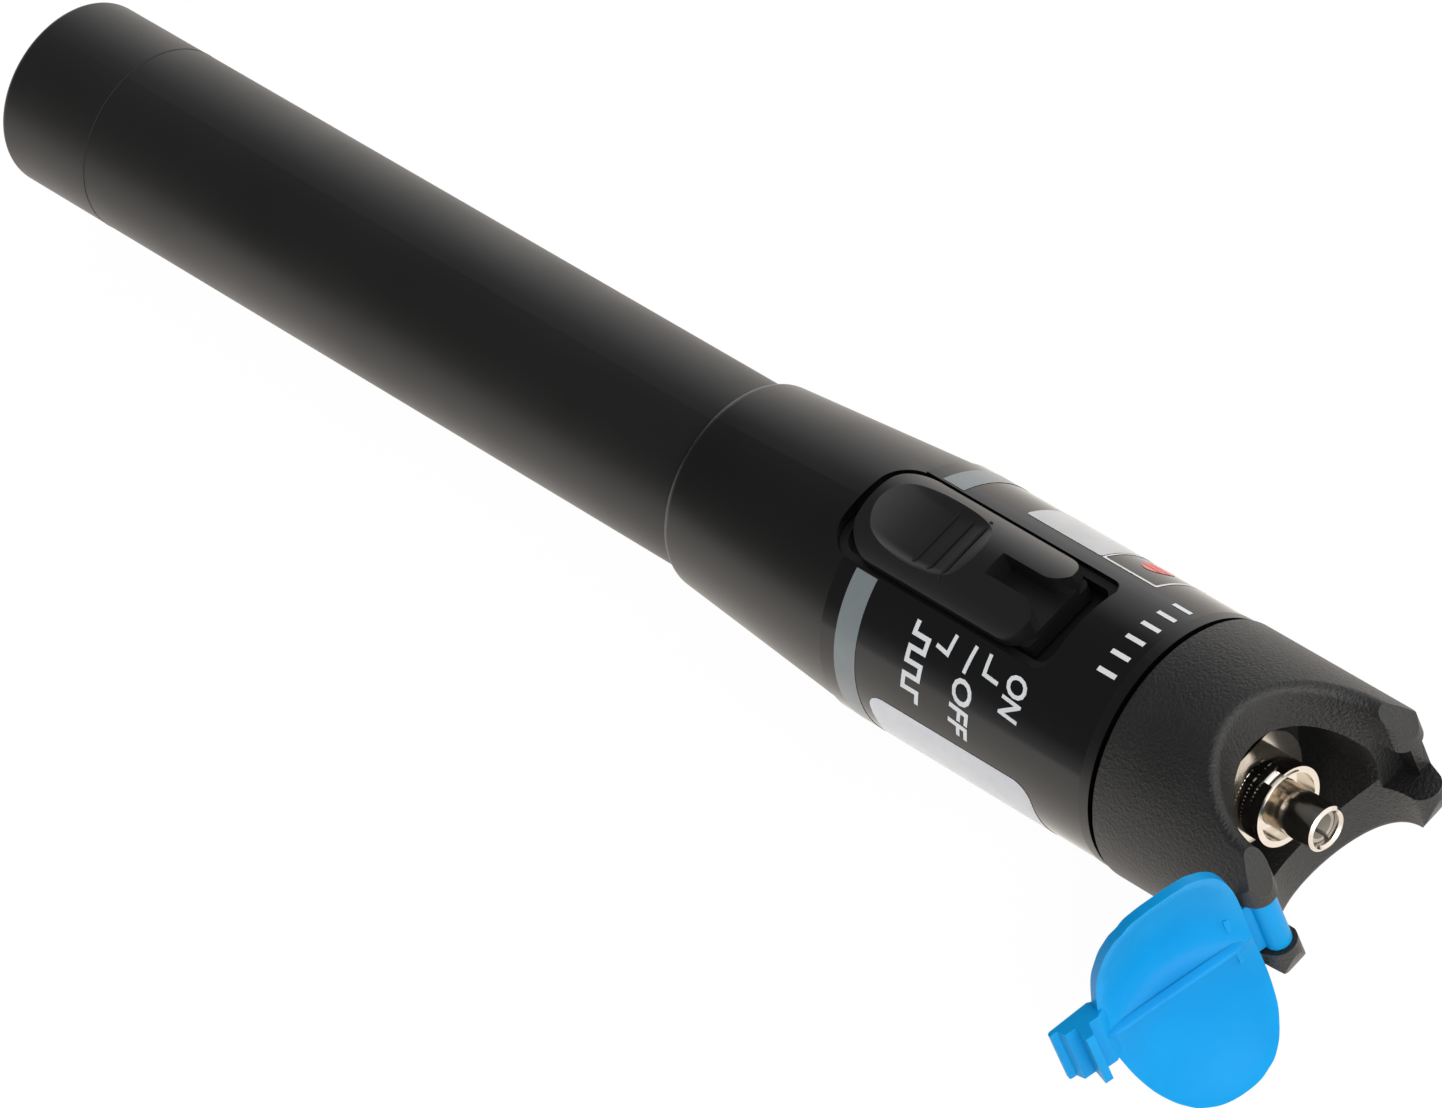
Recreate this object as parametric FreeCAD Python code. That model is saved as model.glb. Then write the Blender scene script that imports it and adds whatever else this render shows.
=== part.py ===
"""Pen-type visual fault locator: a battery tube, a front sleeve with a slide switch, a split head round a
ferrule port, and a hinged dust cap that is shown open.

Millimetres. +X runs along the pen towards the port, +Z points out of the slide switch, and the origin is on
the axis at the mouth of the port's ceramic sleeve.
"""

import FreeCAD, Part
import math
import os
from FreeCAD import Vector

os.makedirs("parts", exist_ok=True)

# ---- clearances ----
SEAT_GAP = 0.05          # radial gap of parts that push or screw together
SLIP_GAP = 0.10          # gap of loose inner pieces
PIVOT_GAP = 0.07         # radial running gap of the cap's pivot stubs
MOVING_GAP = 0.35        # gap of moving plastic beside fixed plastic
OVERRUN = 2.0            # how far a cutting tool reaches past what it cuts

# ---- batteries and contacts ----
CELL_R = 7.2
CELL_LENGTH = 49.3
CELL_EDGE_R = 0.5
CELL_NUB_R = 2.7
CELL_NUB_LENGTH = 1.2
CELL_ROOM = 0.55         # radial room round a cell in the tube
SPRING_WIRE_R = 0.4
SPRING_TURNS = 3.5
SPRING_INSET = 2.0       # from the cell's edge to the spring's wire
SPRING_R = CELL_R - SPRING_INSET
SPRING_WIRE_SIDES = 8
DISC_THICKNESS = 3.0
RIVET_HEAD_R = 3.4
RIVET_HEAD_T = 0.7
RIVET_SHANK_R = 1.5
RIVET_FRONT_R = 2.3

# ---- battery tube and tail ----
TUBE_WALL = 2.085
SPIGOT_WALL = 1.25
TUBE_BORE_R = CELL_R + CELL_ROOM
TUBE_R = TUBE_BORE_R + TUBE_WALL
SPIGOT_R = TUBE_BORE_R + SPIGOT_WALL
TUBE_FRONT_X = -74.5
FRONT_SPIGOT_LENGTH = 13.0
CELL_STANDOUT = 4.2      # how far the rear cell stands out of the tube into the tail cap
CAP_LENGTH = 13.0
CAP_END_WALL = 2.6
CAP_EDGE_R = 0.8
CAP_SPIGOT_LENGTH = 8.0
CAP_SPIGOT_WALL = 1.1
CAP_SPIGOT_BORE_R = SPIGOT_R - CAP_SPIGOT_WALL
RING_WIRE_R = 0.7
RING_GROOVE_DEPTH = 1.3

# ---- head ----
HEAD_R = 13.0
HEAD_REAR_X = -16.0
HEAD_EDGE_CHAMFER = 0.4
HEAD_SPIGOT_LENGTH = 8.0
HEAD_SPIGOT_WALL = 2.55
JAW_THICKNESS = 4.8      # from the mouth's side wall to the head's outside
MOUTH_R = HEAD_R - JAW_THICKNESS
MOUTH_CENTRE_X = 2.4
MOUTH_EDGE_R = 0.9
BORE_STEP = 0.2
HEAD_BORE_R = MOUTH_R - BORE_STEP
BULKHEAD_T = 4.5
JAW_ROUND_EXTRA = 1.6
JAW_ROUND_R = HEAD_R + JAW_ROUND_EXTRA   # roundness of the jaws' front seen from the hinge's side
JAW_ROUND_FRONT_X = 5.0

# ---- cap hinge ----
HINGE_X = 2.45
EAR_R = 1.75
HINGE_Y = MOUTH_R + EAR_R - SEAT_GAP
EAR_BLEND_LENGTH = 5.0
CHANNEL_HALF_WIDTH = 3.6
CHANNEL_R = 1.95
STRAP_RECESS = 2.2       # depth of the channel's outer side below the hinge line
BARREL_R = 1.3
PIVOT_R = 0.8
PIVOT_LENGTH = 1.3
CATCH_FLOOR_X = -0.5     # floor of the pocket that the cap's tongue drops into
CATCH_RIM_X = 1.5        # the rim outside that pocket, which the tongue snaps behind

# ---- front sleeve ----
TUBE_STEP = 0.765
HEAD_STEP = 0.4
SLEEVE_REAR_R = TUBE_R + TUBE_STEP
SLEEVE_FRONT_R = HEAD_R - HEAD_STEP
SLEEVE_WALL = 1.4
SLEEVE_EDGE_R = 1.2
TAPER_END_X = -50.8
SLEEVE_FRONT_X = HEAD_REAR_X - HEAD_STEP
SLEEVE_BORE_R = SLEEVE_FRONT_R - SLEEVE_WALL
SHOULDER_DEPTH = 1.0
SHOULDER_BORE_R = SPIGOT_R - SHOULDER_DEPTH
SHOULDER_LENGTH = 1.6
LABEL_T = 0.15
SLEEVE_LIP = 1.2
LABEL_FRONT_X = SLEEVE_FRONT_X - SLEEVE_LIP

# ---- switch opening, cup and knob ----
POCKET_REAR_X = -53.6
POCKET_FRONT_X = -25.4
POCKET_HALF_WIDTH = 5.6
POCKET_REAR_CORNER_R = 3.2
POCKET_FRONT_CORNER_R = 1.4
BEZEL_WALL = 0.9
BEZEL_SINK = 1.7         # the cup's rim below the sleeve's outside
BEZEL_DEPTH = 1.7
BEZEL_RIM_Z = SLEEVE_FRONT_R - BEZEL_SINK
BEZEL_FLOOR_Z = BEZEL_RIM_Z - BEZEL_DEPTH
BEZEL_FLOOR_T = 0.8
BEZEL_FLANGE = 1.0
BEZEL_FLANGE_T = 0.9
LEVER_SLOT_HALF_WIDTH = 1.5
TRAVEL = 2.0
KNOB_REAR_X = -51.1
KNOB_FRONT_X = -28.6
KNOB_HALF_WIDTH = 5.15
KNOB_CORNER_R = 3.0
KNOB_STANDOUT = 1.9
KNOB_CROWN = 2.5
KNOB_TOP_Z = SLEEVE_FRONT_R + KNOB_STANDOUT
KNOB_SHOULDER_Z = KNOB_TOP_Z - KNOB_CROWN
KNOB_LIFT = 0.25         # gap under the knob, over the cup's floor and its rim
KNOB_SKIRT_Z = BEZEL_RIM_Z + KNOB_LIFT
KNOB_BASE_Z = BEZEL_FLOOR_Z + KNOB_LIFT
NOTCH_REAR_X = -35.6
NOTCH_HALF_WIDTH = 1.3
NOTCH_DEPTH = 2.6
NOTCH_FLOOR_Z = KNOB_TOP_Z - NOTCH_DEPTH
NOTCH_FLARE_R = 2.2
DISH_REAR_X = -50.2
DISH_FRONT_X = -37.6
DISH_DEPTH = 1.9
DISH_LOW_Z = KNOB_TOP_Z - DISH_DEPTH
DISH_HALF_WIDTH = 4.3
DISH_EDGE_R = 1.7
RIB_FRONT_X = -39.7
RIB_PITCH = 2.0
RIB_COUNT = 3
RIB_WIDTH = 0.26
RIB_HEIGHT = 0.14
RIB_HALF_LENGTH = 3.7

# ---- circuit board and slide switch ----
BOARD_FRONT_X = -31.5
BOARD_ROOM = 0.8
BOARD_HALF_WIDTH = SHOULDER_BORE_R - BOARD_ROOM
BOARD_CORNER_R = 1.0
BOARD_TOP_Z = 0.3
BOARD_T = 1.2
SWITCH_LENGTH = 13.0
SWITCH_WIDTH = 6.2
SWITCH_HEIGHT = 5.4
SWITCH_SLOT_DEPTH = 1.0
LEVER_LENGTH = 3.0
LEVER_WIDTH = 2.0
LEVER_REACH = 1.55       # how far the lever reaches into the knob
LEVER_TOP_Z = KNOB_BASE_Z + LEVER_REACH

# ---- laser, lens and port ----
HOUSING_R = 5.5
HOUSING_GAP = 1.0        # from the board's front edge to the housing
HOUSING_NOSE_R = 4.1
DIODE_RIM_R = 2.7
DIODE_RIM_T = 1.2
DIODE_CAN_R = 2.2
DIODE_LENGTH = 3.4
LASER_BORE_R = DIODE_RIM_R + SEAT_GAP
PIN_R = 0.22
PIN_PITCH = 1.27
PIN_COUNT = 3
PIN_LENGTH = 2.5
LENS_R = LASER_BORE_R - SLIP_GAP
LENS_T = 1.8
LENS_DOME_R = 6.0
LENS_RING_T = 1.4
LENS_RING_BORE_R = 1.7
PORT_NOSE_R = 4.0
PORT_NOSE_FRONT_X = -4.0
PORT_NOSE_REAR_X = -7.8
PORT_NOSE_LIP = 0.6
PORT_FLANGE_R = 5.7
PORT_FLANGE_T = 2.6
PORT_FLAT_Z = 4.7
PORT_BARREL_R = 5.0
PORT_BARREL_REAR_X = -20.0
PORT_SLEEVE_R = 2.25
PORT_SLEEVE_LENGTH = 13.3
PORT_SLEEVE_STANDOUT = 0.8
KEY_WIDTH = 1.5
KEY_DEPTH = 1.1
FERRULE_R = 1.25
CERAMIC_R = 1.62
PORT_SLEEVE_MOUTH_R = CERAMIC_R + SEAT_GAP
CERAMIC_LENGTH = 11.0
CERAMIC_SLIT = 0.4
SLEEVE_CHAMFER = 0.25

# ---- dust cap, in its own frame: u from the hinge to the clip, n towards the head, z along the hinge ----
CAP_OPEN_ANGLE = -105.0
LOBE_OFFSET = 0.25       # from the pen's axis to the cap's middle when it is shut
LOBE_CENTRE_U = HINGE_Y + LOBE_OFFSET
LOBE_TIP_SHIFT = 0.9     # how far the cap's two tips lean back towards the hinge
LOBE_HALF_WIDTH = MOUTH_R - MOVING_GAP
LOBE_OVERHANG = 1.8
LOBE_HALF_HEIGHT = HEAD_R + LOBE_OVERHANG
LOBE_EXPONENT = 2.5
LOBE_WALL = 1.0
LOBE_MARGIN = 1.0        # how far the lobe's sheet runs past its outline before it is trimmed
LOBE_STEPS = 16          # spans of the lobe's surface each way
RIM_N = 0.4
RIM_RISE = 3.0
RIDGE_N = 0.9
RIDGE_CROWN = 0.3
RIDGE_FOOT_Z = 1.1       # how fast the surface falls away beside the ridge
BOWL_DEPTH = 2.0
BOWL_EDGE = 0.92
STRAP_LAP = 1.8
STRAP_BACK_N = -0.8
STRAP_HALF_WIDTH = 3.2
CLIP_HALF_WIDTH = 3.4
CLIP_BACK_N = -0.9
CLIP_END_BACK_N = -0.55
CLIP_TIP_N = -0.1
CLIP_STEP_N = 0.75
CLIP_CORNER_R = 0.3
NECK_N = 1.1
NECK_LAP = 1.0           # how far the neck runs back under the lobes
TONGUE_FLANK = 0.35
TONGUE_TOP_N = 2.6
TONGUE_WIDTH = 0.8
TONGUE_INSET = 0.45
TONGUE_U = 2 * HINGE_Y - TONGUE_INSET
CATCH_WALL_Y = TONGUE_U + TONGUE_WIDTH - HINGE_Y + MOVING_GAP
CLIP_STEP_LENGTH = 1.15
CLIP_TIP_LENGTH = 1.1
CLIP_STEP_U = TONGUE_U + TONGUE_WIDTH + CLIP_STEP_LENGTH
CLIP_END_U = CLIP_STEP_U + CLIP_TIP_LENGTH

# ---- places that follow from the sizes above ----
TUBE_SPIGOT_X = TUBE_FRONT_X + FRONT_SPIGOT_LENGTH
DISC_FRONT_X = TUBE_SPIGOT_X + SLIP_GAP + DISC_THICKNESS
SHOULDER_FRONT_X = DISC_FRONT_X + SHOULDER_LENGTH
RIVET_REAR_X = TUBE_SPIGOT_X + SLIP_GAP - RIVET_HEAD_T
CELL_PITCH = CELL_LENGTH + CELL_NUB_LENGTH
CELL_DROP = CELL_ROOM - SLIP_GAP
FRONT_CELL_X = RIVET_REAR_X - CELL_PITCH
REAR_CELL_X = FRONT_CELL_X - CELL_PITCH
TUBE_REAR_X = REAR_CELL_X + CELL_STANDOUT
TAIL_X = TUBE_REAR_X - CAP_LENGTH
CAP_FLOOR_X = TAIL_X + CAP_END_WALL
RING_FLOOR_R = SPIGOT_R - SEAT_GAP - RING_GROOVE_DEPTH / 2
RING_REAR_X = TUBE_REAR_X + SLIP_GAP
BOARD_REAR_X = DISC_FRONT_X + RIVET_HEAD_T
HOUSING_REAR_X = BOARD_FRONT_X + HOUSING_GAP
LABEL_R = SLEEVE_FRONT_R + LABEL_T
KNOB_CENTRE_X = (KNOB_REAR_X + KNOB_FRONT_X) / 2
BULKHEAD_FRONT_X = PORT_NOSE_REAR_X - PORT_FLANGE_T
HEAD_SPIGOT_BORE_R = SLEEVE_BORE_R - SEAT_GAP - HEAD_SPIGOT_WALL
PORT_SLEEVE_REAR_X = PORT_SLEEVE_STANDOUT - PORT_SLEEVE_LENGTH
HOUSING_NOSE_X = PORT_SLEEVE_REAR_X - SLIP_GAP
TOOL_FRONT_X = HINGE_X + EAR_R + OVERRUN

X_AXIS = Vector(1, 0, 0)
Y_AXIS = Vector(0, 1, 0)
Z_AXIS = Vector(0, 0, 1)


def rod(radius, x_from, x_to):
    return Part.makeCylinder(radius, x_to - x_from, Vector(x_from, 0, 0), X_AXIS)


def tube(outer_r, inner_r, x_from, x_to):
    return rod(outer_r, x_from, x_to).cut(rod(inner_r, x_from, x_to))


def box(x_from, x_to, y_from, y_to, z_from, z_to):
    return Part.makeBox(x_to - x_from, y_to - y_from, z_to - z_from, Vector(x_from, y_from, z_from))


def post(radius, x, y, z_from, z_to):
    return Part.makeCylinder(radius, z_to - z_from, Vector(x, y, z_from), Z_AXIS)


def polygon_face(points):
    return Part.Face(Part.makePolygon([*points, points[0]]))


def turned(profile):
    """A solid of revolution about X from (x, r) points."""
    face = polygon_face([Vector(x, 0, r) for x, r in profile])
    return face.revolve(Vector(0, 0, 0), X_AXIS, 360)


def edges_where(shape, test):
    return [edge for edge in shape.Edges if test(edge)]


def is_ring(edge, x, radius):
    """True for a circular edge about the X axis at this place."""
    curve = edge.Curve
    if not isinstance(curve, Part.Circle):
        return False
    return abs(curve.Center.x - x) < 1e-4 and abs(curve.Radius - radius) < 1e-4


def arc_3(a, b, c):
    return Part.Arc(a, b, c).toShape()


def line(a, b):
    return Part.makeLine(a, b)


def rounded_plan(x_rear, x_front, half_width, rear_r, front_r, z_from, z_to):
    """An upright prism on a rectangle whose rear and front corners have their own radii."""
    s = math.sqrt(0.5)

    def at(x, y):
        return Vector(x, y, z_from)

    edges = [
        line(at(x_rear + rear_r, -half_width), at(x_front - front_r, -half_width)),
        arc_3(
            at(x_front - front_r, -half_width),
            at(x_front - front_r + front_r * s, -half_width + front_r - front_r * s),
            at(x_front, -half_width + front_r),
        ),
        line(at(x_front, -half_width + front_r), at(x_front, half_width - front_r)),
        arc_3(
            at(x_front, half_width - front_r),
            at(x_front - front_r + front_r * s, half_width - front_r + front_r * s),
            at(x_front - front_r, half_width),
        ),
        line(at(x_front - front_r, half_width), at(x_rear + rear_r, half_width)),
        arc_3(
            at(x_rear + rear_r, half_width),
            at(x_rear + rear_r - rear_r * s, half_width - rear_r + rear_r * s),
            at(x_rear, half_width - rear_r),
        ),
        line(at(x_rear, half_width - rear_r), at(x_rear, -half_width + rear_r)),
        arc_3(
            at(x_rear, -half_width + rear_r),
            at(x_rear + rear_r - rear_r * s, -half_width + rear_r - rear_r * s),
            at(x_rear + rear_r, -half_width),
        ),
    ]
    return Part.Face(Part.Wire(edges)).extrude(Vector(0, 0, z_to - z_from))


# ---- tail ----

def tail_cap():
    body = rod(TUBE_R, TAIL_X, TUBE_REAR_X)
    body = body.makeFillet(CAP_EDGE_R, edges_where(body, lambda e: is_ring(e, TAIL_X, TUBE_R)))
    spigot = rod(SPIGOT_R - SEAT_GAP, TUBE_REAR_X, TUBE_REAR_X + CAP_SPIGOT_LENGTH)
    body = body.fuse(spigot)
    body = body.cut(rod(CAP_SPIGOT_BORE_R, CAP_FLOOR_X, TUBE_REAR_X + CAP_SPIGOT_LENGTH))
    groove = tube(SPIGOT_R, RING_FLOOR_R, RING_REAR_X, RING_REAR_X + 2 * RING_WIRE_R)
    return body.cut(groove).removeSplitter()


def tail_seal_ring():
    """A flattened rubber ring in the spigot's groove."""
    ring = tube(SPIGOT_R - SEAT_GAP / 5, RING_FLOOR_R, RING_REAR_X, RING_REAR_X + 2 * RING_WIRE_R)
    outer = edges_where(ring, lambda e: isinstance(e.Curve, Part.Circle) and e.Curve.Radius > RING_FLOOR_R + SEAT_GAP)
    return ring.makeFillet(RING_GROOVE_DEPTH / 5, outer)


def tail_spring():
    """A coil of eight-sided wire between the cap's floor and the rear cell."""
    length = REAR_CELL_X - CAP_FLOOR_X - 2 * SPRING_WIRE_R - 2 * SEAT_GAP
    helix = Part.makeHelix(length / SPRING_TURNS, length, SPRING_R)
    corners = []
    for index in range(SPRING_WIRE_SIDES + 1):
        angle = 2 * math.pi * index / SPRING_WIRE_SIDES
        x = SPRING_R + SPRING_WIRE_R * math.cos(angle)
        corners.append(Vector(x, 0, SPRING_WIRE_R * math.sin(angle)))
    section = Part.makePolygon(corners)
    coil = Part.Wire(helix).makePipeShell([section], True, True)
    coil.rotate(Vector(0, 0, 0), Y_AXIS, 90)
    coil.translate(Vector(CAP_FLOOR_X + SPRING_WIRE_R + SEAT_GAP, 0, 0))
    return coil


# ---- batteries and tube ----

def cell(x_from):
    """A cell, lying on the tube's floor."""
    body = rod(CELL_R, x_from, x_from + CELL_LENGTH)
    rims = edges_where(body, lambda e: isinstance(e.Curve, Part.Circle))
    body = body.makeFillet(CELL_EDGE_R, rims)
    body = body.fuse(rod(CELL_NUB_R, x_from + CELL_LENGTH, x_from + CELL_PITCH)).removeSplitter()
    body.translate(Vector(0, 0, -CELL_DROP))
    return body


def battery_tube():
    outer = rod(TUBE_R, TUBE_REAR_X, TUBE_FRONT_X)
    spigot = rod(SPIGOT_R - SEAT_GAP, TUBE_FRONT_X, TUBE_SPIGOT_X)
    socket = rod(SPIGOT_R, TUBE_REAR_X, TUBE_REAR_X + CAP_SPIGOT_LENGTH + SLIP_GAP)
    body = outer.fuse(spigot).cut(rod(TUBE_BORE_R, TUBE_REAR_X, TUBE_SPIGOT_X)).cut(socket)
    return body.removeSplitter()


def contact_disc():
    disc = rod(SPIGOT_R - SLIP_GAP, TUBE_SPIGOT_X + SLIP_GAP, DISC_FRONT_X)
    return disc.cut(rod(RIVET_SHANK_R + SEAT_GAP, TUBE_SPIGOT_X, DISC_FRONT_X))


def front_contact():
    rear_head = rod(RIVET_HEAD_R, RIVET_REAR_X, RIVET_REAR_X + RIVET_HEAD_T)
    shank = rod(RIVET_SHANK_R, RIVET_REAR_X, BOARD_REAR_X)
    front_head = rod(RIVET_FRONT_R, DISC_FRONT_X, BOARD_REAR_X)
    return rear_head.fuse(shank).fuse(front_head).removeSplitter()


# ---- front sleeve ----

def pocket_prism(inset, z_from, z_to):
    return rounded_plan(
        POCKET_REAR_X + inset,
        POCKET_FRONT_X - inset,
        POCKET_HALF_WIDTH - inset,
        POCKET_REAR_CORNER_R - inset,
        POCKET_FRONT_CORNER_R - inset / 2,
        z_from,
        z_to,
    )


def front_sleeve():
    outside = turned(
        [
            (TUBE_FRONT_X, 0),
            (TUBE_FRONT_X, SLEEVE_REAR_R),
            (TAPER_END_X, SLEEVE_FRONT_R),
            (SLEEVE_FRONT_X, SLEEVE_FRONT_R),
            (SLEEVE_FRONT_X, 0),
        ]
    )
    rear_rim = edges_where(outside, lambda e: is_ring(e, TUBE_FRONT_X, SLEEVE_REAR_R))
    outside = outside.makeFillet(SLEEVE_EDGE_R, rear_rim)
    lip = tube(LABEL_R + SEAT_GAP, SLEEVE_FRONT_R, LABEL_FRONT_X, SLEEVE_FRONT_X)
    body = outside.fuse(lip)
    body = body.cut(rod(SPIGOT_R, TUBE_FRONT_X, DISC_FRONT_X))
    body = body.cut(rod(SHOULDER_BORE_R, DISC_FRONT_X, SHOULDER_FRONT_X))
    body = body.cut(rod(SLEEVE_BORE_R, SHOULDER_FRONT_X, SLEEVE_FRONT_X))
    return body.cut(pocket_prism(0, 0, HEAD_R + OVERRUN)).removeSplitter()


def label_wrap():
    wrap = tube(LABEL_R, SLEEVE_FRONT_R, TAPER_END_X, LABEL_FRONT_X)
    return wrap.cut(pocket_prism(-SLIP_GAP, 0, HEAD_R + OVERRUN))


def switch_bezel():
    flange_z = BEZEL_FLOOR_Z - BEZEL_FLOOR_T
    cup = pocket_prism(SEAT_GAP, flange_z, BEZEL_RIM_Z)
    cup = cup.cut(pocket_prism(BEZEL_WALL, BEZEL_FLOOR_Z, BEZEL_RIM_Z))
    flange = pocket_prism(-BEZEL_FLANGE, flange_z - BEZEL_FLANGE_T, flange_z)
    flange_bound = rod(SLEEVE_BORE_R - SLIP_GAP, POCKET_REAR_X - OVERRUN, POCKET_FRONT_X + OVERRUN)
    body = cup.fuse(flange.common(flange_bound))
    slot = box(
        KNOB_CENTRE_X - LEVER_LENGTH / 2 - TRAVEL - MOVING_GAP,
        KNOB_CENTRE_X + LEVER_LENGTH / 2 + TRAVEL + MOVING_GAP,
        -LEVER_SLOT_HALF_WIDTH,
        LEVER_SLOT_HALF_WIDTH,
        flange_z - BEZEL_FLANGE_T,
        BEZEL_RIM_Z,
    )
    return body.cut(slot).removeSplitter()


# ---- slider knob ----

def knob_blank():
    """The crowned outline of the knob, wider above the cup's rim than inside the cup."""
    top = rounded_plan(
        KNOB_REAR_X, KNOB_FRONT_X, KNOB_HALF_WIDTH, KNOB_CORNER_R, KNOB_CORNER_R, KNOB_SKIRT_Z, KNOB_TOP_Z + OVERRUN
    )
    rise = KNOB_TOP_Z - KNOB_SHOULDER_Z
    crown_r = (KNOB_HALF_WIDTH**2 + rise**2) / (2 * rise)
    crown = Part.makeCylinder(
        crown_r, KNOB_FRONT_X - KNOB_REAR_X, Vector(KNOB_REAR_X, 0, KNOB_TOP_Z - crown_r), X_AXIS
    )
    top = top.common(crown)
    inset = BEZEL_WALL + MOVING_GAP
    base = rounded_plan(
        POCKET_REAR_X + inset + TRAVEL,
        POCKET_FRONT_X - inset - TRAVEL,
        POCKET_HALF_WIDTH - inset,
        POCKET_REAR_CORNER_R - inset,
        POCKET_FRONT_CORNER_R - inset / 2,
        KNOB_BASE_Z,
        KNOB_SKIRT_Z,
    )
    return top.fuse(base)


def knob_dish():
    """The tool that presses the thumb dish: a broad cylinder across the knob with rounded ends."""
    half_chord = (DISH_FRONT_X - DISH_REAR_X) / 2
    depth = KNOB_TOP_Z - DISH_LOW_Z
    radius = (half_chord**2 + depth**2) / (2 * depth)
    centre = Vector((DISH_FRONT_X + DISH_REAR_X) / 2, -DISH_HALF_WIDTH, DISH_LOW_Z + radius)
    tool = Part.makeCylinder(radius, 2 * DISH_HALF_WIDTH, centre, Y_AXIS)
    rims = edges_where(tool, lambda e: isinstance(e.Curve, Part.Circle))
    return tool.makeFillet(DISH_EDGE_R, rims), centre, radius


def knob_notch():
    """The U notch, open to the front, with its arms flared at the mouth."""
    front_x = KNOB_FRONT_X + OVERRUN
    top_z = KNOB_TOP_Z + OVERRUN
    slot = box(NOTCH_REAR_X, front_x, -NOTCH_HALF_WIDTH, NOTCH_HALF_WIDTH, NOTCH_FLOOR_Z, top_z)
    for side in (-1, 1):
        corner_x = KNOB_FRONT_X - NOTCH_FLARE_R
        flare = box(
            corner_x,
            front_x,
            min(0, side * (NOTCH_HALF_WIDTH + NOTCH_FLARE_R)),
            max(0, side * (NOTCH_HALF_WIDTH + NOTCH_FLARE_R)),
            NOTCH_FLOOR_Z,
            top_z,
        )
        arm_end = post(NOTCH_FLARE_R, corner_x, side * (NOTCH_HALF_WIDTH + NOTCH_FLARE_R), 0, top_z + OVERRUN)
        slot = slot.fuse(flare.cut(arm_end))
    return slot


def slider_knob():
    body = knob_blank()
    dish, centre, radius = knob_dish()
    body = body.cut(dish).cut(knob_notch())
    for index in range(RIB_COUNT):
        x = RIB_FRONT_X - index * RIB_PITCH
        floor_z = centre.z - math.sqrt(radius**2 - (x - centre.x) ** 2)
        rib = box(x - RIB_WIDTH / 2, x + RIB_WIDTH / 2, -RIB_HALF_LENGTH, RIB_HALF_LENGTH,
                  floor_z - RIB_HEIGHT, floor_z + RIB_HEIGHT)
        body = body.fuse(rib)
    socket = box(
        KNOB_CENTRE_X - LEVER_LENGTH / 2 - SEAT_GAP,
        KNOB_CENTRE_X + LEVER_LENGTH / 2 + SEAT_GAP,
        -LEVER_WIDTH / 2 - SEAT_GAP,
        LEVER_WIDTH / 2 + SEAT_GAP,
        KNOB_BASE_Z,
        LEVER_TOP_Z + SEAT_GAP,
    )
    return body.cut(socket).removeSplitter()


# ---- circuit board and switch ----

def circuit_board():
    board = box(
        BOARD_REAR_X, BOARD_FRONT_X, -BOARD_HALF_WIDTH, BOARD_HALF_WIDTH, BOARD_TOP_Z - BOARD_T, BOARD_TOP_Z
    )
    corners = edges_where(board, lambda e: abs(e.tangentAt(e.FirstParameter).z) > 0.9)
    return board.makeFillet(BOARD_CORNER_R, corners)


def slide_switch_body():
    x = KNOB_CENTRE_X
    z_top = BOARD_TOP_Z + SWITCH_HEIGHT
    body = box(x - SWITCH_LENGTH / 2, x + SWITCH_LENGTH / 2, -SWITCH_WIDTH / 2, SWITCH_WIDTH / 2,
               BOARD_TOP_Z, z_top)
    half_slot = LEVER_LENGTH / 2 + TRAVEL + MOVING_GAP
    slot = box(x - half_slot, x + half_slot, -LEVER_WIDTH / 2 - SLIP_GAP, LEVER_WIDTH / 2 + SLIP_GAP,
               z_top - SWITCH_SLOT_DEPTH, z_top)
    return body.cut(slot)


def switch_lever():
    x = KNOB_CENTRE_X
    z_low = BOARD_TOP_Z + SWITCH_HEIGHT - SWITCH_SLOT_DEPTH + SLIP_GAP
    return box(x - LEVER_LENGTH / 2, x + LEVER_LENGTH / 2, -LEVER_WIDTH / 2, LEVER_WIDTH / 2,
               z_low, LEVER_TOP_Z)


# ---- laser and lens ----

def laser_housing():
    body = rod(HOUSING_R, HOUSING_REAR_X, PORT_BARREL_REAR_X - SLIP_GAP)
    nose = rod(HOUSING_NOSE_R, HOUSING_REAR_X, HOUSING_NOSE_X)
    body = body.fuse(nose)
    return body.cut(rod(LASER_BORE_R, HOUSING_REAR_X, HOUSING_NOSE_X)).removeSplitter()


def laser_diode():
    """A metal can whose rim sits at the housing's rear, with three pins."""
    rim = rod(DIODE_RIM_R, HOUSING_REAR_X, HOUSING_REAR_X + DIODE_RIM_T)
    can = rod(DIODE_CAN_R, HOUSING_REAR_X, HOUSING_REAR_X + DIODE_LENGTH)
    body = rim.fuse(can)
    for index in range(PIN_COUNT):
        y = (index - (PIN_COUNT - 1) / 2) * PIN_PITCH
        pin = Part.makeCylinder(
            PIN_R, PIN_LENGTH, Vector(HOUSING_REAR_X - PIN_LENGTH, y, BOARD_TOP_Z + PIN_R), X_AXIS
        )
        body = body.fuse(pin)
    return body.removeSplitter()


def lens_seat_x():
    return HOUSING_NOSE_X - LENS_RING_T - LENS_T


def focus_lens():
    """A plano-convex lens, its curved side towards the port."""
    x = lens_seat_x()
    blank = rod(LENS_R, x, x + LENS_T)
    dome = Part.makeSphere(LENS_DOME_R, Vector(x + LENS_T - LENS_DOME_R, 0, 0))
    return blank.common(dome)


def lens_ring():
    return tube(LASER_BORE_R - SEAT_GAP, LENS_RING_BORE_R, HOUSING_NOSE_X - LENS_RING_T + SEAT_GAP, HOUSING_NOSE_X)


# ---- port ----

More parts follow.
